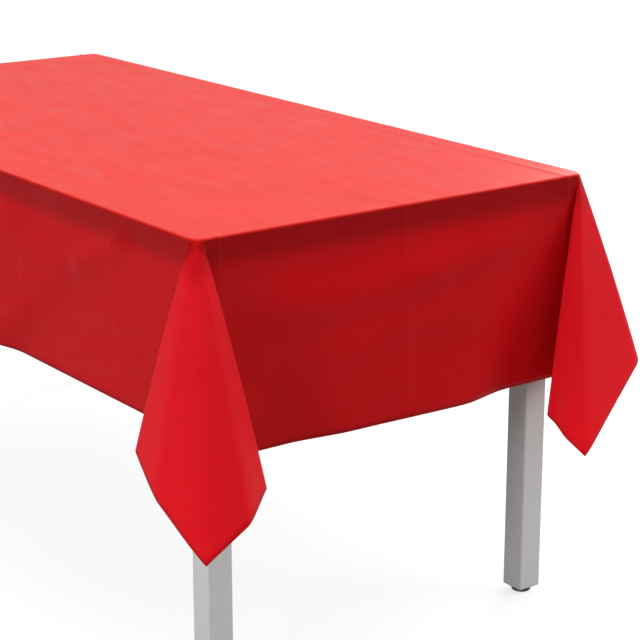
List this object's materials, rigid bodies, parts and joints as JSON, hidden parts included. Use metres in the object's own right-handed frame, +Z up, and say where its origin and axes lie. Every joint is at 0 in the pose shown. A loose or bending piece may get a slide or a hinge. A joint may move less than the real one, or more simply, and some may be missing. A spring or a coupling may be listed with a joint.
{
  "type": "tablecloth on a table",
  "caption": "Thin red film tablecloth with kite-shaped corner flaps, draped over a rectangular dining or party table with screw-on legs and levelling feet.",
  "frame": {"origin": "on the floor, under the middle of the table", "axes": "+X along the table, +Z up, the long front side faces -Y"},
  "size_m": [1.8984, 1.0224, 0.7511],
  "materials": {
    "red_film": "satin",
    "board": "satin",
    "white_lacquer": "satin",
    "rail_wood": "matte",
    "zinc": "satin",
    "foot_plastic": "matte"
  },
  "bodies": {
    "table": {"table_top": "board", "centre_rail": "rail_wood", "apron_front": "white_lacquer", "apron_rear": "white_lacquer", "apron_left": "white_lacquer", "apron_right": "white_lacquer", "leg_front_right": "white_lacquer", "corner_plate_front_right": "zinc", "hanger_bolt_front_right": "zinc", "leg_nut_front_right": "zinc", "foot_bush_front_right": "zinc", "angle_bracket_front_right": "zinc", "bracket_screw_deck_front_right": "zinc", "bracket_screw_apron_front_right": "zinc", "leg_rear_right": "white_lacquer", "corner_plate_rear_right": "zinc", "hanger_bolt_rear_right": "zinc", "leg_nut_rear_right": "zinc", "foot_bush_rear_right": "zinc", "angle_bracket_rear_right": "zinc", "bracket_screw_deck_rear_right": "zinc", "bracket_screw_apron_rear_right": "zinc", "leg_rear_left": "white_lacquer", "corner_plate_rear_left": "zinc", "hanger_bolt_rear_left": "zinc", "leg_nut_rear_left": "zinc", "foot_bush_rear_left": "zinc", "angle_bracket_rear_left": "zinc", "bracket_screw_deck_rear_left": "zinc", "bracket_screw_apron_rear_left": "zinc", "leg_front_left": "white_lacquer", "corner_plate_front_left": "zinc", "hanger_bolt_front_left": "zinc", "leg_nut_front_left": "zinc", "foot_bush_front_left": "zinc", "angle_bracket_front_left": "zinc", "bracket_screw_deck_front_left": "zinc", "bracket_screw_apron_front_left": "zinc"},
    "tablecloth": {"cloth_top": "red_film", "cloth_drop_front": "red_film", "cloth_drop_rear": "red_film", "cloth_drop_left": "red_film", "cloth_drop_right": "red_film", "cloth_flap_front_right": "red_film", "cloth_flap_rear_right": "red_film", "cloth_flap_rear_left": "red_film", "cloth_flap_front_left": "red_film"},
    "foot_front_right": {"levelling_foot_front_right": "foot_plastic"},
    "foot_rear_right": {"levelling_foot_rear_right": "foot_plastic"},
    "foot_rear_left": {"levelling_foot_rear_left": "foot_plastic"},
    "foot_front_left": {"levelling_foot_front_left": "foot_plastic"}
  },
  "joints": [
    {"name": "tablecloth_lift", "type": "slide", "parent": "table", "child": "tablecloth", "axis": [0, 0, 1], "range_m": [0, 0.55]},
    {"name": "foot_screw_front_right", "type": "slide", "parent": "table", "child": "foot_front_right", "axis": [0, 0, -1], "range_m": [0, 0.01]},
    {"name": "foot_screw_rear_right", "type": "slide", "parent": "table", "child": "foot_rear_right", "axis": [0, 0, -1], "range_m": [0, 0.01]},
    {"name": "foot_screw_rear_left", "type": "slide", "parent": "table", "child": "foot_rear_left", "axis": [0, 0, -1], "range_m": [0, 0.01]},
    {"name": "foot_screw_front_left", "type": "slide", "parent": "table", "child": "foot_front_left", "axis": [0, 0, -1], "range_m": [0, 0.01]}
  ]
}
